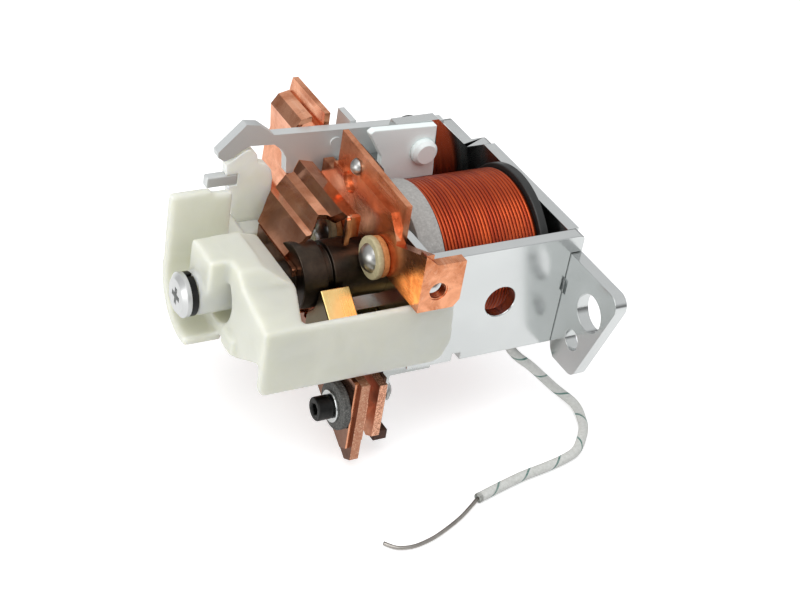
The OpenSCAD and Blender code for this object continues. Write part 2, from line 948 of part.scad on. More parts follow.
module fibre_washers() {
    color([0.36, 0.36, 0.34])
        at_front()
            at_stack()
                difference() {
                    xcyl(leaf_x0 - fibre_t, leaf_x0, 5.6);
                    xcyl(leaf_x0 - fibre_t - 1, leaf_x0 + 1, screw_r + 0.1);
                }
}

module pawl_pin() {
    color([0.7, 0.71, 0.72])
        at_front()
            translate([pawl_x, 0, pawl_z])
                ycyl(17.6, lever_y1 + 0.6, pawl_pin_r - press_gap);
}

// the release lever: strip on edge with a hook at the front, the pin hole, a pressed stud and a side
// finger
module release_lever() {
    stud_r = 1.4;
    color([0.84, 0.85, 0.86])
        at_front() {
            yplate(lever_y0, lever_y1)
                difference() {
                    polygon([[-12.2, 12], [-9, 11.2], [pin_x - 2.7, 11.2], [pin_x + 2.8, 12.6],
                        [pin_x + 8.1, 14.6], [pin_x + 8.1, 20.6], [pin_x - 2.7, 21], [2.6, 21.6],
                        [-16.3, 22.5], [-20, 25.4], [-23.3, 26], [-29.6, 19.7], [-29.4, 18.4],
                        [-27.9, 17.3], [-25.8, 18], [-23.8, 19.6], [-22, 20.4], [-16, 20],
                        [-13.8, 18.2], [-12.6, 16]]);
                    translate([pin_x, pin_z])
                        circle(r = pin_r + run_fit);
                }
            translate([-0.5, 0, 18.5])
                ycyl(lever_y0 - 0.4, lever_y0 + eps, stud_r);
            box([4, lever_y1 - eps, 15.5], [5.6, lever_y1 + 6.3, 22]);
        }
}

// the latch pawl that stands in the notch of the lever hook
module latch_pawl() {
    color([0.82, 0.83, 0.77])
        at_front()
            yplate(lever_y0, lever_y1)
                difference() {
                    polygon([[-27.3, 16.4], [-27.1, 13.4], [-25.9, 8.4], [-24.2, -0.4], [-22.6, -4.4],
                        [-20.6, -5.4], [-18.4, -4.6], [-17, -1.5], [-15.4, 6.5], [-15.4, 11],
                        [-16, 13.4], [-17.4, 15], [-19.6, 15.8], [-19.8, 17.8], [-21, 19.1], [-22, 19.5],
                        [-23.4, 18.9], [-26.2, 16.9]]);
                    translate([pawl_x, pawl_z])
                        circle(r = pawl_pin_r + run_fit);
                    translate([-27.5, 10.6])
                        square([3.4, 2.8]);
                }
}

module pawl_tab() {
    color([0.78, 0.79, 0.8])
        at_front()
            box([-31.6, lever_y0 + 0.1, 10.6 + press_gap],
                [-24.1 - press_gap, lever_y1 - 0.1, 13.4 - press_gap]);
}

mounting_plate();
near_side_plate();
far_side_plate();
pivot_bracket();
front_plate();
pole_core();
coil_bobbin();
front_disc();
coil_winding();
guide_sleeve();
upper_contact();
upper_insulator();
insulated_rivets();
cream_washers();
brown_washers();
bar_rivet();
lower_bracket();
lower_contact();
lower_insulator();
lower_rivets();
insulating_strip();
brass_stop();
lever_pin();
pin_clip();
lead_sleeve();
lead_wire();
armature();
return_spring();
nylon_holder();
holder_screw();
lock_washer();
contact_bridge();
bridge_foot();
contact_pads();
bridge_screws();
screw_washers();
fibre_washers();
pawl_pin();
release_lever();
latch_pawl();
pawl_tab();
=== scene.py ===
import bpy
import bmesh
import json
import math
from mathutils import Matrix, Vector


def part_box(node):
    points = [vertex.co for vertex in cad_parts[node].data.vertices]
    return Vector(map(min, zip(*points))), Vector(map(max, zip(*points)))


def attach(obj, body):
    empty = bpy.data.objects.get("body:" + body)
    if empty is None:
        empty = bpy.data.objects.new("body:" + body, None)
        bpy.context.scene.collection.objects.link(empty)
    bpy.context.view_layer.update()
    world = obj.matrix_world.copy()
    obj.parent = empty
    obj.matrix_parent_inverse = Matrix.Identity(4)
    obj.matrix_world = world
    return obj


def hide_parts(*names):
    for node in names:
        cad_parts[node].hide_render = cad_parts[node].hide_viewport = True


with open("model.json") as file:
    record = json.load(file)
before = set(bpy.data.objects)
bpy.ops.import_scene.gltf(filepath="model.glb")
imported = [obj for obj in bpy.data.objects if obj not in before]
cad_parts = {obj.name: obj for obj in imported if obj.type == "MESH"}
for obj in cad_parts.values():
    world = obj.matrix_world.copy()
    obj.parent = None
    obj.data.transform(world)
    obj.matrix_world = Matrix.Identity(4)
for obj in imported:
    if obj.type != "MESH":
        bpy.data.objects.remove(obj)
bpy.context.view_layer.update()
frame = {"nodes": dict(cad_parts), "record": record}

scene = bpy.context.scene
MM = 0.001
# height of the coil axis in the row frame
AXIS_Z = -1.0 * MM

# camera, fitted to the photograph
LENS = 79.24
SENSOR = 36.0
CAM_AT = (-0.2175, -0.2804, 0.2172)
CAM_RIGHT = (0.87520349, -0.46137291, 0.14544377)
CAM_UP = (0.16076941, 0.5609715, 0.812074)
CAM_BACK = (-0.45625875, -0.68734709, 0.56513886)

cam_data = bpy.data.cameras.new("camera")
cam_data.lens = LENS
cam_data.sensor_width = SENSOR
cam = bpy.data.objects.new("camera", cam_data)
scene.collection.objects.link(cam)
cam_turn = Matrix((CAM_RIGHT, CAM_UP, CAM_BACK)).transposed().to_4x4()
cam.matrix_world = Matrix.Translation(CAM_AT) @ cam_turn
scene.camera = cam
scene.view_settings.view_transform = "Standard"

# route of the coil lead in millimetres: x from the mounting face, y and z from the coil axis
LEAD = [(-13, -11.4, -12.4), (-9.5, -17, -19.3), (-3.2, -18, -25), (4.6, -18.4, -32.6), (8.8, -22.2, -35.8),
        (7.4, -27.9, -36), (5.2, -31.8, -36), (0.3, -36.8, -36), (-4, -38.7, -36), (-10.3, -40, -36),
        (-17.2, -41, -36), (-24.3, -42.6, -36), (-31, -44.3, -36)]
WIRE = [(-31, -44.3, -36), (-37.2, -47.9, -36.6), (-44, -51, -36.6), (-48.2, -52.3, -36.6),
        (-52.1, -52.8, -36.6), (-55.5, -52, -36.6), (-57.6, -49.8, -36.6)]
SLEEVE_D = 2.3 * MM
WIRE_D = 0.9 * MM
# share of the sleeve's radius that is wall, and how deep its cut end is open, in radii
SLEEVE_WALL = 0.35
OPEN_DEPTH = 0.8


def smooth_route(pts, n):
    """Points of a smooth curve through pts, n to each stretch, in the row frame."""
    p = [Vector(q) * MM + Vector((0, 0, AXIS_Z)) for q in pts]
    out = []
    for i in range(len(p) - 1):
        a, b, c, d = p[max(i - 1, 0)], p[i], p[i + 1], p[min(i + 2, len(p) - 1)]
        for k in range(n):
            t = k / n
            out.append(0.5 * (2 * b + (c - a) * t + (2 * a - 5 * b + 4 * c - d) * t * t
                              + (3 * b - a - 3 * c + d) * t ** 3))
    out.append(p[-1])
    return out


def around(u, v, k, n):
    """The k-th of n directions round a circle that u and v span."""
    a = 2 * math.pi * k / n
    return u * math.cos(a) + v * math.sin(a)


def object_from(bm, name):
    """A new object of the scene, with its faces turned outwards. It uses up the bmesh."""
    bmesh.ops.recalc_face_normals(bm, faces=bm.faces)
    mesh = bpy.data.meshes.new(name)
    bm.to_mesh(mesh)
    bm.free()
    obj = bpy.data.objects.new(name, mesh)
    scene.collection.objects.link(obj)
    return obj


def tube(name, pts, radius, sides, wall=0.0):
    """A round tube along pts with UVs: x once round the tube, y the distance along it in metres.
    With a wall, its far end is open."""
    bm = bmesh.new()
    uv = bm.loops.layers.uv.new("route")
    hoops = []
    run = [0.0]
    for a, b in zip(pts, pts[1:]):
        run.append(run[-1] + (b - a).length)
    u = Vector((0.2, 0.1, 1.0))
    for i, p in enumerate(pts):
        t = (pts[min(i + 1, len(pts) - 1)] - pts[max(i - 1, 0)]).normalized()
        u = (u - t * u.dot(t)).normalized()
        v = t.cross(u)
        hoops.append([bm.verts.new(p + radius * around(u, v, k, sides)) for k in range(sides)])
    for i in range(len(pts) - 1):
        for k in range(sides):
            j = (k + 1) % sides
            f = bm.faces.new((hoops[i][k], hoops[i][j], hoops[i + 1][j], hoops[i + 1][k]))
            f.smooth = True
            for loop, (x, y) in zip(f.loops, ((k, i), (k + 1, i), (k + 1, i + 1), (k, i + 1))):
                loop[uv].uv = (x / sides, run[y])
    bm.faces.new(list(reversed(hoops[0])))
    cap = bm.faces.new(hoops[-1])
    if wall:
        bmesh.ops.inset_region(bm, faces=[cap], thickness=radius * wall)
        t = (pts[-1] - pts[-2]).normalized()
        bmesh.ops.translate(bm, verts=cap.verts, vec=-t * radius * OPEN_DEPTH)
    return object_from(bm, name)


lead_path = smooth_route(LEAD, 6)
wire_path = smooth_route(WIRE, 6)
lead_sleeve = tube("braided_sleeve", lead_path, SLEEVE_D / 2, 20, SLEEVE_WALL)
lead_wire = tube("bare_wire_end", wire_path, WIRE_D / 2, 12)

body_of = {n: b for b, ns in frame["record"]["behaviour"]["bodies"].items() for n in ns}
slot_of = {s["node"]: s["material_slot"] for s in frame["record"]["subparts"]}


def stands_for(obj, node):
    """obj takes the place of a CAD node and rides on its body."""
    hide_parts(node)
    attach(obj, body_of[node])


stands_for(lead_sleeve, "lead_sleeve")
stands_for(lead_wire, "lead_wire")


# materials

class Paint:
    """A procedural material with a few node helpers."""

    SOCKETS = {"color": "Base Color", "metal": "Metallic", "rough": "Roughness", "normal": "Normal",
               "coat": "Coat Weight", "coat_rough": "Coat Roughness", "spec": "Specular IOR Level",
               "sss": "Subsurface Weight", "sss_scale": "Subsurface Scale", "sss_radius": "Subsurface Radius",
               "sheen": "Sheen Weight"}

    def __init__(self, name):
        self.mat = bpy.data.materials.new(name)
        self.mat.use_nodes = True
        self.nt = self.mat.node_tree
        self.bsdf = self.nt.nodes["Principled BSDF"]
        self.place = self.nt.nodes.new("ShaderNodeTexCoord").outputs["Object"]

    def node(self, kind, **attrs):
        n = self.nt.nodes.new("ShaderNode" + kind)
        for k, v in attrs.items():
            setattr(n, k, v)
        return n

    def put(self, socket, value):
        if isinstance(value, bpy.types.NodeSocket):
            self.nt.links.new(value, socket)
        else:
            socket.default_value = value

    def stretch(self, x, y, z):
        n = self.node("Mapping")
        self.put(n.inputs["Vector"], self.place)
        n.inputs["Scale"].default_value = (x, y, z)
        return n.outputs[0]

    def noise(self, scale, detail=3.0, rough=0.55, twist=0.0, at=None):
        n = self.node("TexNoise")
        self.put(n.inputs["Vector"], at or self.place)
        n.inputs["Scale"].default_value = scale
        n.inputs["Detail"].default_value = detail
        n.inputs["Roughness"].default_value = rough
        n.inputs["Distortion"].default_value = twist
        return n.outputs["Fac"]

    def ramp(self, fac, *stops):
        n = self.node("ValToRGB")
        elements = n.color_ramp.elements
        while len(elements) < len(stops):
            elements.new(0.5)
        for element, (position, value) in zip(elements, stops):
            element.position = position
            element.color = (value, value, value, 1)
        self.put(n.inputs[0], fac)
        return n.outputs[0]

    def math(self, op, a, b=0.0, c=0.0):
        n = self.node("Math", operation=op)
        for s, v in zip(n.inputs, (a, b, c)):
            self.put(s, v)
        return n.outputs[0]

    def fit(self, value, gain, base):
        """value times gain, plus base."""
        return self.math("MULTIPLY_ADD", value, gain, base)

    def mix(self, fac, a, b, blend="MIX"):
        n = self.node("Mix", data_type="RGBA", blend_type=blend)
        self.put(n.inputs[0], fac)
        for s, v in ((n.inputs[6], a), (n.inputs[7], b)):
            self.put(s, (*v, 1) if isinstance(v, tuple) else v)
        return n.outputs[2]

    def bump(self, height, strength, depth, under=None):
        n = self.node("Bump")
        self.put(n.inputs["Height"], height)
        n.inputs["Strength"].default_value = strength
        n.inputs["Distance"].default_value = depth
        if under is not None:
            self.put(n.inputs["Normal"], under)
        return n.outputs[0]

    def part(self, vector, axis):
        """A vector's part along X, Y or Z."""
        n = self.node("SeparateXYZ")
        self.put(n.inputs[0], vector)
        return n.outputs[axis]

    def way(self, axis):
        """The surface direction's part along X, Y or Z."""
        return self.part(self.node("NewGeometry").outputs["Normal"], axis)

    def set(self, **values):
        for k, v in values.items():
            s = self.bsdf.inputs[self.SOCKETS[k]]
            self.put(s, (*v, 1) if k == "color" and isinstance(v, tuple) else v)
        return self.mat


def zinc(name, light=(0.64, 0.66, 0.655), dark=(0.57, 0.59, 0.585), low=0.15, high=0.21, metal=1.0):
    """Bright zinc over rolled sheet: faint rolling lines, soft clouds and small dull spots."""
    p = Paint(name)
    dull_spot = (0.46, 0.47, 0.47)
    cloud = p.noise(60, 3, 0.5)
    rolled = p.noise(600, 2, 0.5, at=p.stretch(0.06, 1, 1))
    spot = p.noise(1500, 3, 0.6)
    color = p.mix(p.ramp(cloud, (0.3, 0.0), (0.75, 1.0)), dark, light)
    color = p.mix(p.ramp(spot, (0.66, 0.0), (0.78, 0.35)), color, dull_spot)
    rough = p.fit(rolled, 0.05, p.fit(cloud, high - low, low - 0.02))
    normal = p.bump(rolled, 0.015, 0.02 * MM, p.bump(spot, 0.05, 0.01 * MM))
    return p.set(color=color, metal=metal, rough=rough, normal=normal)


def copper(name, face=(0.86, 0.42, 0.25), dull=(0.50, 0.19, 0.09), edge=(0.84, 0.47, 0.31), sheared=True,
           low=0.22, front=1.0, shade_upto=0.1):
    """Rolled copper. Sheared edges, which don't face along X, are grainy. Faces that look towards -X,
    up to a place along Y, are painted darker as painted shade: they keep the share front of their colour."""
    p = Paint(name)
    stained, rubbed = (0.20, 0.08, 0.05), (0.93, 0.60, 0.44)
    grain_dark, grain_light = (0.42, 0.18, 0.11), (0.95, 0.70, 0.55)
    cloud = p.noise(160, 5, 0.62, 0.6)
    streak = p.noise(900, 3, 0.6, at=p.stretch(1, 0.08, 1))
    stain = p.noise(420, 4, 0.7, 1.0)
    color = p.mix(p.ramp(cloud, (0.38, 0.0), (0.66, 1.0)), face, dull)
    color = p.mix(p.ramp(stain, (0.60, 0.0), (0.78, 0.55)), color, stained)
    color = p.mix(p.ramp(streak, (0.55, 0.0), (0.8, 0.35)), color, rubbed)
    rough = p.fit(streak, 0.12, p.fit(cloud, 0.22, low - 0.08))
    normal = p.bump(streak, 0.12, 0.03 * MM)
    if sheared:
        grain = p.noise(2600, 3, 0.7)
        cut = p.ramp(p.math("ABSOLUTE", p.way(0)), (0.45, 1.0), (0.65, 0.0))
        specks = p.mix(p.ramp(grain, (0.42, 0.0), (0.58, 1.0)), grain_dark, edge)
        specks = p.mix(p.ramp(grain, (0.60, 0.0), (0.72, 0.8)), specks, grain_light)
        color = p.mix(cut, color, specks)
        rough = p.fit(cut, 0.14, rough)
        normal = p.bump(p.math("MULTIPLY", cut, grain), 0.55, 0.12 * MM, normal)
    # painted shade: faces towards -X, nearer than a place along Y, keep only the share front of their colour
    if front < 1.0:
        shade_zone = p.math("LESS_THAN", p.part(p.place, 1), shade_upto)
        ahead = p.math("MULTIPLY", p.way(0), p.math("MULTIPLY", shade_zone, -1.0))
        color = p.mix(1.0, color, p.ramp(ahead, (0.35, 1.0), (0.75, front)), "MULTIPLY")
    return p.set(color=color, metal=1.0, rough=rough, normal=normal)


def turned(name, light, dark, low, high, side=1.0):
    """A turned metal: fine rings across the coil axis. Faces that don't look up are painted darker, as
    painted
    shade: they keep the share side of their colour."""
    p = Paint(name)
    rings = p.noise(700, 3, 0.6, at=p.stretch(1, 0.02, 0.02))
    cloud = p.noise(240, 4, 0.6)
    color = p.mix(p.ramp(cloud, (0.35, 0.0), (0.68, 1.0)), dark, light)
    rough = p.fit(rings, high - low, low)
    # painted shade: faces that don't look up keep only the share side of their colour
    if side < 1.0:
        color = p.mix(1.0, color, p.ramp(p.way(2), (0.55, side), (0.8, 1.0)), "MULTIPLY")
    return p.set(color=color, metal=1.0, rough=rough, normal=p.bump(rings, 0.15, 0.03 * MM))


def fibre(name, light, dark, speck, scale, rough=0.8, depth=0.05):
    """Pressed fibre: mottled, with darker and lighter specks and a grain of a depth in millimetres."""
    p = Paint(name)
    grain = p.noise(scale, 4, 0.7)
    cloud = p.noise(scale * 0.18, 3, 0.6)
    color = p.mix(p.ramp(grain, (0.36, 0.0), (0.62, 1.0)), dark, light)
    color = p.mix(p.ramp(grain, (0.60, 0.0), (0.74, 0.7)), color, speck)
    color = p.mix(p.ramp(cloud, (0.35, 0.25), (0.65, 0.0)), color, dark)
    return p.set(color=color, rough=p.fit(grain, 0.25, rough - 0.15), spec=0.3,
                 normal=p.bump(grain, 0.5, depth * MM))


def moulded(name, light, dark, rough, sss=0.0, scale=3.0):
    """A moulded plastic with faint flow clouds and a fine grain. Light goes scale millimetres into it
    where it has a share sss."""
    p = Paint(name)
    cloud = p.noise(110, 3, 0.5, 0.8)
    grain = p.noise(3500, 2, 0.5)
    color = p.mix(p.ramp(cloud, (0.35, 0.0), (0.68, 1.0)), dark, light)
    sheen = p.fit(p.noise(700, 3, 0.6), 0.16, rough - 0.08)
    normal = p.bump(grain, 0.12, 0.02 * MM, p.bump(cloud, 0.15, 0.3 * MM))
    p.set(color=color, rough=sheen, spec=0.45, normal=normal)
    if sss:
        p.set(sss=sss, sss_scale=scale * MM, sss_radius=(1.0, 0.95, 0.75))
    return p.mat


def enamel(name):
    """Enamelled copper wire: a lacquer coat over copper, with slight changes from turn to turn."""
    p = Paint(name)
    dark, light, dim = (0.36, 0.040, 0.010), (0.56, 0.088, 0.018), (0.28, 0.04, 0.016)
    turns = p.noise(900, 2, 0.5, at=p.stretch(1, 0.05, 0.05))
    cloud = p.noise(140, 3, 0.6)
    color = p.mix(p.ramp(turns, (0.35, 0.0), (0.68, 1.0)), dark, light)
    color = p.mix(p.ramp(cloud, (0.4, 0.0), (0.7, 0.35)), color, dim)
    return p.set(color=color, metal=0.85, rough=p.fit(cloud, 0.15, 0.28), coat=0.15, coat_rough=0.25,
                 normal=p.bump(p.noise(2500, 2, 0.5), 0.08, 0.02 * MM))


def braid(name):
    """Braided glass sleeve: two crossing sets of strands and one dark green tracer."""
    p = Paint(name)
    strands, strand_pitch, tracer_pitch, tracer_share = 12, 8 * MM, 9.4 * MM, 0.08
    dark, light, gap, green = (0.60, 0.61, 0.58), (0.72, 0.73, 0.70), (0.42, 0.43, 0.40), (0.05, 0.17, 0.14)
    route = p.node("UVMap", uv_map="route").outputs[0]
    turn, run = p.part(route, 0), p.part(route, 1)

    def strand(sign):
        phase = p.fit(turn, strands * sign, p.math("MULTIPLY", run, strands / strand_pitch))
        return p.math("SINE", p.math("MULTIPLY", phase, 2 * math.pi))

    weave = p.math("MULTIPLY", strand(1), strand(-1))
    fray = p.noise(1400, 3, 0.7)
    color = p.mix(p.ramp(fray, (0.35, 0.0), (0.65, 1.0)), dark, light)
    color = p.mix(p.ramp(weave, (0.0, 0.0), (0.6, 0.22)), color, gap)
    line = p.math("FRACT", p.math("ADD", turn, p.math("DIVIDE", run, tracer_pitch)))
    tracer = p.math("MULTIPLY", p.math("GREATER_THAN", line, 0.5 - tracer_share / 2),
                    p.math("LESS_THAN", line, 0.5 + tracer_share / 2))
    color = p.mix(p.math("MULTIPLY", tracer, p.ramp(fray, (0.3, 0.5), (0.6, 1.0))), color, green)
    return p.set(color=color, rough=p.fit(fray, 0.2, 0.55), sheen=0.15, normal=p.bump(weave, 0.5, 0.06 * MM))


# a material for each slot of the record
MATERIALS = {
    "zinc_steel": zinc("zinc_steel"),
    "rivet_steel": zinc("rivet_steel", (0.42, 0.42, 0.405), (0.32, 0.32, 0.31), 0.26, 0.42),
    "iron": turned("iron", (0.080, 0.060, 0.045), (0.040, 0.031, 0.025), 0.28, 0.48),
    "black_steel": turned("black_steel", (0.035, 0.035, 0.034), (0.018, 0.018, 0.018), 0.35, 0.55),
    "spring_steel": turned("spring_steel", (0.42, 0.43, 0.45), (0.30, 0.31, 0.32), 0.2, 0.35),
    "copper": copper("copper"),
    "enamelled_wire": enamel("enamelled_wire"),
    # brass: faces that don't look up keep a tenth of their colour, painted shade under a lit top
    "brass": turned("brass", (0.98, 0.76, 0.34), (0.90, 0.64, 0.25), 0.22, 0.34, side=0.10),
    "nylon": moulded("nylon", (0.66, 0.67, 0.595), (0.62, 0.63, 0.555), 0.42, 1.0, 5.0),
    "black_plastic": moulded("black_plastic", (0.022, 0.024, 0.023), (0.012, 0.013, 0.013), 0.36),
    "grey_fibre": fibre("grey_fibre", (0.46, 0.45, 0.43), (0.34, 0.33, 0.315), (0.58, 0.57, 0.55), 1500),
    "dark_fibre": fibre("dark_fibre", (0.15, 0.15, 0.14), (0.05, 0.05, 0.048), (0.42, 0.42, 0.40), 2200,
                        depth=0.12),
    "laminate": fibre("laminate", (0.09, 0.035, 0.018), (0.04, 0.016, 0.01), (0.16, 0.07, 0.04), 1200, 0.55),
    "cream_fibre": fibre("cream_fibre", (0.50, 0.44, 0.27), (0.38, 0.335, 0.20), (0.60, 0.56, 0.40), 1300,
                         0.6),
    "brown_fibre": fibre("brown_fibre", (0.62, 0.27, 0.10), (0.42, 0.16, 0.05), (0.75, 0.42, 0.20), 1300,
                         0.5),
    "sleeve": braid("sleeve"),
    "tinned_wire": turned("tinned_wire", (0.42, 0.40, 0.37), (0.28, 0.26, 0.24), 0.25, 0.45),
}

# nodes whose finish differs from their slot's, some with painted light or painted shade
LEAF_END = 22.2 * MM
SATIN_ZINC = zinc("satin_zinc", (0.66, 0.68, 0.67), (0.58, 0.60, 0.60), 0.42, 0.52, 0.45)
# zinc painted near white with little metal: painted light standing in for the bright reflection on the cheek
# and the pin
ZINC_PAINTED_LIGHT = zinc("zinc_painted_light", (0.93, 1.0, 0.99), (0.88, 0.95, 0.94), 0.40, 0.50, 0.05)
SPECIAL = {
    "latch_pawl": moulded("pawl_nylon", (0.90, 0.92, 0.85), (0.83, 0.85, 0.78), 0.36, 0.8, 3.0),
    "release_lever": SATIN_ZINC,
    "pawl_tab": SATIN_ZINC,
    "pivot_bracket": ZINC_PAINTED_LIGHT,
    "lever_pin": ZINC_PAINTED_LIGHT,
    "holder_screw": zinc("screw_zinc", (0.68, 0.69, 0.68), (0.54, 0.55, 0.545), 0.28, 0.40, 0.6),
    "upper_contact": copper("bar_copper", (0.80, 0.36, 0.20), (0.46, 0.15, 0.06), sheared=False, low=0.16),
    # the leaf's faces towards -X, up to its far end, are painted darker: painted shade
    "contact_bridge": copper("leaf_copper", (0.84, 0.40, 0.24), (0.58, 0.22, 0.11), sheared=False, low=0.08,
                             front=0.3, shade_upto=LEAF_END),
    # the foot's copper is painted darker than the bridge's as painted shade, and its faces towards -X darker
    # still
    "bridge_foot": copper("foot_copper_shaded", (0.50, 0.21, 0.115), (0.32, 0.11, 0.05), (0.50, 0.27, 0.17),
                          front=0.3),
}


# forms of the pieces, in millimetres from the front end of the side plates on the coil axis

FRONT = Vector((-41.0, 0.0, AXIS_Z / MM))
WELD = 2e-6
# hole of the lever pin in the far plate and its bracket: x, z and radius
PIN_HOLE = (19.7, 16.6, 3.2)


def prism(axis, outline, lo, hi):
    """A bar along an axis with an outline in the other two."""
    bm = bmesh.new()
    ends = []
    for s in (lo, hi):
        spots = [{"X": (s, a, b), "Y": (a, s, b), "Z": (a, b, s)}[axis] for a, b in outline]
        ends.append([bm.verts.new((Vector(q) + FRONT) * MM) for q in spots])
        bm.faces.new(ends[-1])
    for i in range(len(outline)):
        j = (i + 1) % len(outline)
        bm.faces.new((ends[0][i], ends[0][j], ends[1][j], ends[1][i]))
    return object_from(bm, "form")


def arc(a, b, r, n, start, end):
    """n points on a part of a circle, both its ends among them, by angles in degrees."""
    turns = [math.radians(start + (end - start) * k / (n - 1)) for k in range(n)]
    return [(a + r * math.cos(t), b + r * math.sin(t)) for t in turns]


def rod(axis, a, b, r, lo, hi, n=48):
    """A round bar along an axis."""
    return prism(axis, arc(a, b, r, n + 1, 0, 360)[:n], lo, hi)


def brick(lo, hi):
    return prism("Z", [(lo[0], lo[1]), (hi[0], lo[1]), (hi[0], hi[1]), (lo[0], hi[1])], lo[2], hi[2])


def node_solid(node):
    bm = bmesh.new()
    bm.from_mesh(frame["nodes"][node].data)
    bmesh.ops.remove_doubles(bm, verts=bm.verts, dist=WELD)
    return object_from(bm, "form")


def carve(base, *steps):
    """base after each operation with a solid, all of which are used up."""
    for op, tool in steps:
        m = base.modifiers.new(op, "BOOLEAN")
        m.operation = op
        m.object = tool
        m.solver = "EXACT"
    mesh = bpy.data.meshes.new_from_object(base.evaluated_get(bpy.context.evaluated_depsgraph_get()))
    base.modifiers.clear()
    base.data = mesh
    for op, tool in steps:
        bpy.data.objects.remove(tool)
    return base


def holder_form():
    """The holder with the flat-sided screw block standing in a round recess of its front."""
    bore_r, boss_r, recess_r = 3.65, 4.9, 7.6
    boss_front, block_front, recess_back, back = -43.6, -42, -31.5, -30
    block_low, block_top = -2.2, 10.45
    plan = [(-31, -4.8), (block_front, -4.8), (block_front, 5.5), (-38, 9.3), (-31, 9.3)]
    face = [(-12.5, -3), (12, -3), (12, 3), (10.1, 4.6), (4.9, 10.5), (-12.5, 10.5)]
    block = carve(prism("Z", plan, block_low, block_top), ("INTERSECT", prism("X", face, -44, back)))
    boss = carve(rod("X", 0, 0, boss_r, boss_front, back), ("UNION", block))
    ledge = brick((-38.7, -11.9, -9.8), (-36, -6, -5.4))
    tab_notch = brick((-36, 8, 17.4), (-29, 14, 20))
    return carve(node_solid("nylon_holder"),
                 ("UNION", ledge),
                 ("DIFFERENCE", rod("X", 0, 0, recess_r, -44.5, recess_back)),
                 ("DIFFERENCE", tab_notch),
                 ("UNION", boss),
                 ("DIFFERENCE", rod("X", 0, 0, bore_r, -45, -29)))


def contact_form():
    """The upper fixed contact: bar with a lower top band, seat of the small rivet, sloping tapped lug."""
    front, back, band, seat, pocket = -3.47, -1, -2.4, -2.42, -2.44
    cut_front, cut_back = -4, 0
    foot, lever_gap, top_end = 5.43, 9.6, 24.4
    bar_outline = [(-26, foot), (7.6, foot), (7.6, -3), (17.2, -3), (17.2, foot), (42, foot), (44, 20.4),
                   (43, top_end), (25.6, top_end), (25.6, lever_gap), (21.6, lever_gap), (21.6, 15.2),
                   (16.6, 15.2), (16.6, 25.3), (-14.5, 24.2), (-14.5, 14.6), (-26, 19.36)]
    band_outline = [(-28.5, 21.2), (-14.9, 15.2), (-10.4, 20.3), (46, 20.3), (46, 30), (-28.5, 30)]
    bar = carve(prism("X", bar_outline, front, back),
                ("DIFFERENCE", prism("X", band_outline, cut_front, band)),
                ("DIFFERENCE", rod("X", 8.6, 17.4, 3.2, cut_front, seat)),
                ("DIFFERENCE", brick((cut_front, 5.5, 17.4), (pocket, 17.5, 22))),
                *[("DIFFERENCE", rod("X", y, z, r, cut_front, cut_back))
                  for y, z, r in ((-9.2, 8.4, 2.4), (12.4, 2, 2.4), (8.1, 20.7, 1.2))])

    lug_near, lug_far = -27, -24.5
    hole_x, hole_z, drill_r, thread_r, crest_r = 0.9, 10.3, 2.3, 2.36, 2.0
    pitch, crest, turns = 0.62, 0.3, 4
    lug_outline = [(-3.5, 5.4), (5.3, 5.4), (6.7, 7.2), (6.7, 17.1), (-0.2, 17.1), (-3.5, 19.8)]
    lug = carve(prism("Y", lug_outline, lug_near, lug_far),
                ("DIFFERENCE", rod("Y", hole_x, hole_z, drill_r, lug_near - 1, lug_far + 0.5)))
    for k in range(turns):
        at = lug_near + 0.2 + pitch * k
        ridge = carve(rod("Y", hole_x, hole_z, thread_r, at, at + crest),
                      ("DIFFERENCE", rod("Y", hole_x, hole_z, crest_r, at - 1, at + 1)))
        lug = carve(lug, ("UNION", ridge))
    return carve(bar, ("UNION", lug))


def bridge_form():
    """The bridge with the whole stepped leaf, its folded near end and an open near side under it."""
    root, lean, sheet = -5.72, 0.5, 1
    steps = [(root + x, z) for x, z in ((0, 14.1), (-3.6, 15.1), (-4.7, 12.4), (-6.8, 11.9), (-9.4, 9.4),
                                        (-11, 9.3), (-13.9, 6), (-15.6, 4.65))]
    plan = [(root + x, y) for x, y in ((0, -2.3), (0, 25.8), (-4.1, 25.8), (-4.7, 21.9), (-6.7, 21.9),
                                       (-10, 21), (-12, 19.5), (-13.9, 17.5), (-16, 15.5), (-16, 1.3),
                                       (-13.9, 1.8), (-12, 1), (-10, 1.1), (-6.7, 4.7), (-5.2, 3.6),
                                       (-3, -1.6))]
    profile = steps + [(x + lean, z - sheet) for x, z in reversed(steps)]
    leaf = carve(prism("Y", profile, -22, 27), ("INTERSECT", prism("Z", plan, 0, 22)))
    # the near side under the leaf, in two cuts, and the CAD node's own leaf
    open_low = brick((-22, -9, -13), (-20.2, -3, 6))
    open_high = brick((-22, -9, -13), (-20.2, -0.02, 0.02))
    old_leaf = brick((-22, -4, 4.1), (-5, 22.6, 17))
    web = brick((-11.62, 16.7, 3.3), (-10.58, 21.85, 11))
    fold = brick((-9.1, -2.35, 7.6), (-7.9, -1.3, 14.2))
    fold_end = brick((-8.1, -2.4, 9.6), (-5.9, -1.2, 14.8))
    return carve(node_solid("contact_bridge"),
                 ("DIFFERENCE", open_low), ("DIFFERENCE", open_high), ("DIFFERENCE", old_leaf),
                 ("UNION", web), ("UNION", leaf), ("UNION", fold), ("UNION", fold_end))


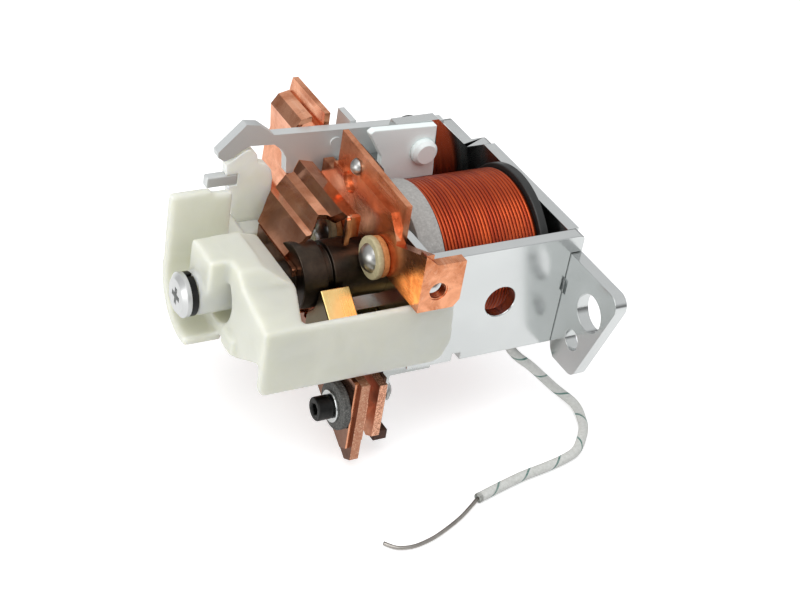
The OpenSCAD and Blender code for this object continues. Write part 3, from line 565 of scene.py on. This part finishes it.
def plate_form():
    """The mounting plate with the slimmer ears of the photograph."""
    corner_r, tip, heel, low, front, back = 3, 38.2, 30.2, -17.5, 36, 43
    edge = [(tip, 10), *arc(tip, 7, corner_r, 10, 80, -20), (33, -15.55),
            *arc(heel, low + corner_r, corner_r, 8, -30, -80), (heel, low), (20, low),
            (20, -22), (50, -22), (50, 12), (tip, 12)]
    return carve(node_solid("mounting_plate"), ("DIFFERENCE", prism("X", edge, front, back)),
                 ("DIFFERENCE", prism("X", [(-y, z) for y, z in edge], front, back)))


def far_form():
    """The far side plate with the higher corner that holds the lever pin."""
    near, far = 19, 22
    corner = carve(prism("Y", [(11, 13.5), (34.3, 13.5), (24, 23.2), (13, 23.2)], near, far),
                   ("DIFFERENCE", rod("Y", *PIN_HOLE, near - 1, far + 1)))
    return carve(node_solid("far_side_plate"), ("UNION", corner))


def bracket_form():
    """The pivot bracket, a flat cheek inside the far plate."""
    near, far = 17, 19
    outline = [(6.1, 23.6), (5, 22.8), (8.9, 16.4), (9.1, 9.2), (23.8, 9.2), (22.6, 22.9)]
    return carve(prism("Y", outline, near, far), ("DIFFERENCE", rod("Y", *PIN_HOLE, near - 1, far + 1)))


def stop_form():
    """The brass stop: a wide post on a foot, cut away round the push rod."""
    near, far, low, foot_top, front, rod_r = -16.6, -4, -12.4, -9.4, -17, 8.1
    outline = [(far, low), (far, -8), (-8.6, 1.4), (-15.2, -3.6), (near, -7), (near, low)]
    return carve(prism("X", outline, front, -9.8), ("UNION", brick((front, near, low), (0.5, far, foot_top))),
                 ("DIFFERENCE", rod("X", 0, 0, rod_r, front - 1, 1.5, 72)))


def disc_form():
    """The fibre disc at the winding's front end."""
    outer_r, bore_r, front, back = 17.9, 9.55, 3.6, 9.5
    return carve(rod("X", 0, 0, outer_r, front, back, 96),
                 ("DIFFERENCE", rod("X", 0, 0, bore_r, front - 0.6, back + 0.5, 72)))


FORMS = {"nylon_holder": holder_form, "upper_contact": contact_form, "contact_bridge": bridge_form,
         "mounting_plate": plate_form, "far_side_plate": far_form, "pivot_bracket": bracket_form,
         "brass_stop": stop_form, "front_disc": disc_form}

# the holder is soft all over: voxels of its cast and rounds of smoothing
CAST = "nylon_holder"
CAST_VOXEL = 0.42 * MM
CAST_ROUNDS = 14
# width of the rounded edges of the other pieces, in millimetres
EDGE = {"latch_pawl": 0.7, "release_lever": 0.35, "mounting_plate": 0.4, "near_side_plate": 0.3,
        "far_side_plate": 0.3, "pivot_bracket": 0.3, "front_plate": 0.25, "lower_bracket": 0.35,
        "lever_pin": 0.35, "upper_contact": 0.25, "contact_bridge": 0.35, "bridge_foot": 0.3,
        "lower_contact": 0.25, "contact_pads": 0.25, "brass_stop": 0.45, "armature": 0.25,
        "coil_bobbin": 0.4, "front_disc": 0.15, "fibre_washers": 0.3, "bridge_screws": 0.35,
        "holder_screw": 0.35, "lock_washer": 0.2, "pawl_tab": 0.45, "cream_washers": 0.4,
        "brown_washers": 0.35, "insulated_rivets": 0.3, "bar_rivet": 0.2, "lower_rivets": 0.3,
        "screw_washers": 0.15, "pin_clip": 0.15, "pawl_pin": 0.3, "upper_insulator": 0.15,
        "lower_insulator": 0.1, "insulating_strip": 0.2, "pole_core": 0.2, "guide_sleeve": 0.08}
EDGE_ANGLE = math.radians(28)
FLAT_ANGLE = math.radians(0.5)


def soften(obj):
    cast = obj.modifiers.new("cast", "REMESH")
    cast.mode = "VOXEL"
    cast.voxel_size = CAST_VOXEL
    cast.use_smooth_shade = True
    soft = obj.modifiers.new("soft", "SMOOTH")
    soft.factor = 0.5
    soft.iterations = CAST_ROUNDS


def round_edges(obj, width):
    edge = obj.modifiers.new("edge", "BEVEL")
    edge.width = width
    edge.segments = 3
    edge.limit_method = "ANGLE"
    edge.angle_limit = EDGE_ANGLE
    edge.use_clamp_overlap = True
    flat = obj.modifiers.new("flat", "WEIGHTED_NORMAL")
    flat.weight = 100


def skin(node):
    """A piece with rounded edges that stands for a CAD node: its own form where it has one, or the node's."""
    form = FORMS[node]() if node in FORMS else node_solid(node)
    bm = bmesh.new()
    bm.from_mesh(form.data)
    bpy.data.objects.remove(form)
    bmesh.ops.remove_doubles(bm, verts=bm.verts, dist=WELD)
    bmesh.ops.dissolve_limit(bm, angle_limit=FLAT_ANGLE, verts=bm.verts, edges=bm.edges)
    for f in bm.faces:
        f.smooth = True
    obj = object_from(bm, node + "_skin")
    if node == CAST:
        soften(obj)
    else:
        round_edges(obj, EDGE[node] * MM)
    stands_for(obj, node)
    return obj


def winding():
    """The coil's outer layer as one real helix of round wire, over a plain drum for the layers below."""
    ahead, pitch, wire_share, steps, sides = 1.5 * MM, 0.87 * MM, 0.49, 72, 8
    x_way, y_way, z_way = Vector((1, 0, 0)), Vector((0, 1, 0)), Vector((0, 0, 1))
    lo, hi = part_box("coil_winding")
    start = lo.x - ahead
    length = hi.x - start
    radius = (hi.y - lo.y) / 2
    turns = int(length / pitch)
    wire = length / turns * wire_share
    mid = Vector((0, (lo.y + hi.y) / 2, (lo.z + hi.z) / 2))
    bm = bmesh.new()
    last = None
    count = steps * (turns - 1)
    for i in range(count + 1):
        out = around(y_way, z_way, i, steps)
        centre = mid + x_way * (start + wire + (length - 2 * wire) * i / count) + out * (radius - wire)
        hoop = [bm.verts.new(centre + wire * around(out, x_way, k, sides)) for k in range(sides)]
        if last:
            for k in range(sides):
                j = (k + 1) % sides
                bm.faces.new((last[k], last[j], hoop[j], hoop[k])).smooth = True
        else:
            bm.faces.new(hoop)
        last = hoop
    bm.faces.new(list(reversed(last)))

    drum_r = radius - 1.2 * wire
    rims = [[bm.verts.new(mid + x_way * x + drum_r * around(y_way, z_way, k, steps)) for k in range(steps)]
            for x in (start + 0.2 * wire, hi.x - 0.2 * wire)]
    for k in range(steps):
        j = (k + 1) % steps
        bm.faces.new((rims[0][k], rims[0][j], rims[1][j], rims[1][k])).smooth = True
    bm.faces.new(rims[0])
    bm.faces.new(list(reversed(rims[1])))
    obj = object_from(bm, "wound_wire")
    stands_for(obj, "coil_winding")
    return obj


def paint(obj, mat):
    obj.data.materials.clear()
    obj.data.materials.append(mat)


for node, obj in frame["nodes"].items():
    mat = SPECIAL.get(node) or MATERIALS[slot_of[node]]
    paint(obj, mat)
    if node == CAST or node in EDGE:
        paint(skin(node), mat)
paint(winding(), MATERIALS["enamelled_wire"])
paint(lead_sleeve, MATERIALS["sleeve"])
paint(lead_wire, MATERIALS["tinned_wire"])

# floor, background and light

FLOOR_Z = -38.25 * MM
FLOOR_SIDE, FLOOR_NEAR, FLOOR_FAR = 0.9, -0.8, 1.0
FLOOR_COLOR = (0.80, 0.80, 0.80, 1)
# the floor's own glow towards the camera and in glossy surfaces
FLOOR_SEEN, FLOOR_MIRRORED = 0.50, 0.35
# grey of the surroundings from straight below (0) to straight above (1)
SKY = ((0.0, 0.45), (0.46, 0.15), (0.56, 0.18), (0.74, 0.85), (1.0, 0.80))
SKY_BLUE = 1.01


def make_floor():
    """A pale floor that keeps the shadow."""
    mesh = bpy.data.meshes.new("floor")
    corners = [(-FLOOR_SIDE, FLOOR_NEAR), (FLOOR_SIDE, FLOOR_NEAR), (FLOOR_SIDE, FLOOR_FAR),
               (-FLOOR_SIDE, FLOOR_FAR)]
    mesh.from_pydata([(x, y, FLOOR_Z) for x, y in corners], [], [(0, 1, 2, 3)])
    floor = bpy.data.objects.new("floor", mesh)
    scene.collection.objects.link(floor)
    mat = bpy.data.materials.new("floor")
    mat.use_nodes = True
    nodes, links = mat.node_tree.nodes, mat.node_tree.links
    nodes.clear()
    ray = nodes.new("ShaderNodeLightPath")
    seen = nodes.new("ShaderNodeMath")
    seen.operation = "MULTIPLY"
    seen.inputs[1].default_value = FLOOR_SEEN
    links.new(ray.outputs["Is Camera Ray"], seen.inputs[0])
    glow = nodes.new("ShaderNodeMath")
    glow.operation = "MULTIPLY_ADD"
    glow.inputs[1].default_value = FLOOR_MIRRORED
    links.new(ray.outputs["Is Glossy Ray"], glow.inputs[0])
    links.new(seen.outputs[0], glow.inputs[2])
    emission = nodes.new("ShaderNodeEmission")
    links.new(glow.outputs[0], emission.inputs["Strength"])
    diffuse = nodes.new("ShaderNodeBsdfDiffuse")
    diffuse.inputs["Color"].default_value = FLOOR_COLOR
    both = nodes.new("ShaderNodeAddShader")
    links.new(diffuse.outputs[0], both.inputs[0])
    links.new(emission.outputs[0], both.inputs[1])
    out = nodes.new("ShaderNodeOutputMaterial")
    links.new(both.outputs[0], out.inputs[0])
    paint(floor, mat)


def make_sky():
    """White to the camera, and graded by height to everything else."""
    world = bpy.data.worlds.new("studio")
    scene.world = world
    world.use_nodes = True
    nodes, links = world.node_tree.nodes, world.node_tree.links
    way = nodes.new("ShaderNodeTexCoord")
    split = nodes.new("ShaderNodeSeparateXYZ")
    links.new(way.outputs["Generated"], split.inputs[0])
    height = nodes.new("ShaderNodeMapRange")
    height.inputs["From Min"].default_value = -1.0
    links.new(split.outputs[2], height.inputs["Value"])
    grade = nodes.new("ShaderNodeValToRGB")
    elements = grade.color_ramp.elements
    while len(elements) < len(SKY):
        elements.new(0.5)
    for element, (position, grey) in zip(elements, SKY):
        element.position = position
        element.color = (grey, grey, grey * SKY_BLUE, 1)
    links.new(height.outputs[0], grade.inputs[0])
    ray = nodes.new("ShaderNodeLightPath")
    mix = nodes.new("ShaderNodeMix")
    mix.data_type = "RGBA"
    links.new(ray.outputs["Is Camera Ray"], mix.inputs[0])
    links.new(grade.outputs[0], mix.inputs[6])
    mix.inputs[7].default_value = (1, 1, 1, 1)
    back = nodes["Background"]
    links.new(mix.outputs[2], back.inputs[0])
    back.inputs[1].default_value = 1.0


def softbox(name, at, aim, size, power):
    light = bpy.data.lights.new(name, "AREA")
    light.shape = "RECTANGLE"
    light.size, light.size_y = size
    light.energy = power
    obj = bpy.data.objects.new(name, light)
    obj.location = at
    obj.rotation_euler = (Vector(aim) - Vector(at)).to_track_quat("-Z", "Y").to_euler()
    scene.collection.objects.link(obj)


make_floor()
make_sky()
softbox("key", at=(-0.35, -0.25, 0.75), aim=(-0.04, 0, 0), size=(0.6, 0.6), power=2.8)
softbox("fill", at=(-0.80, -0.16, 0.10), aim=(-0.04, 0, -0.01), size=(0.5, 0.4), power=2.6)
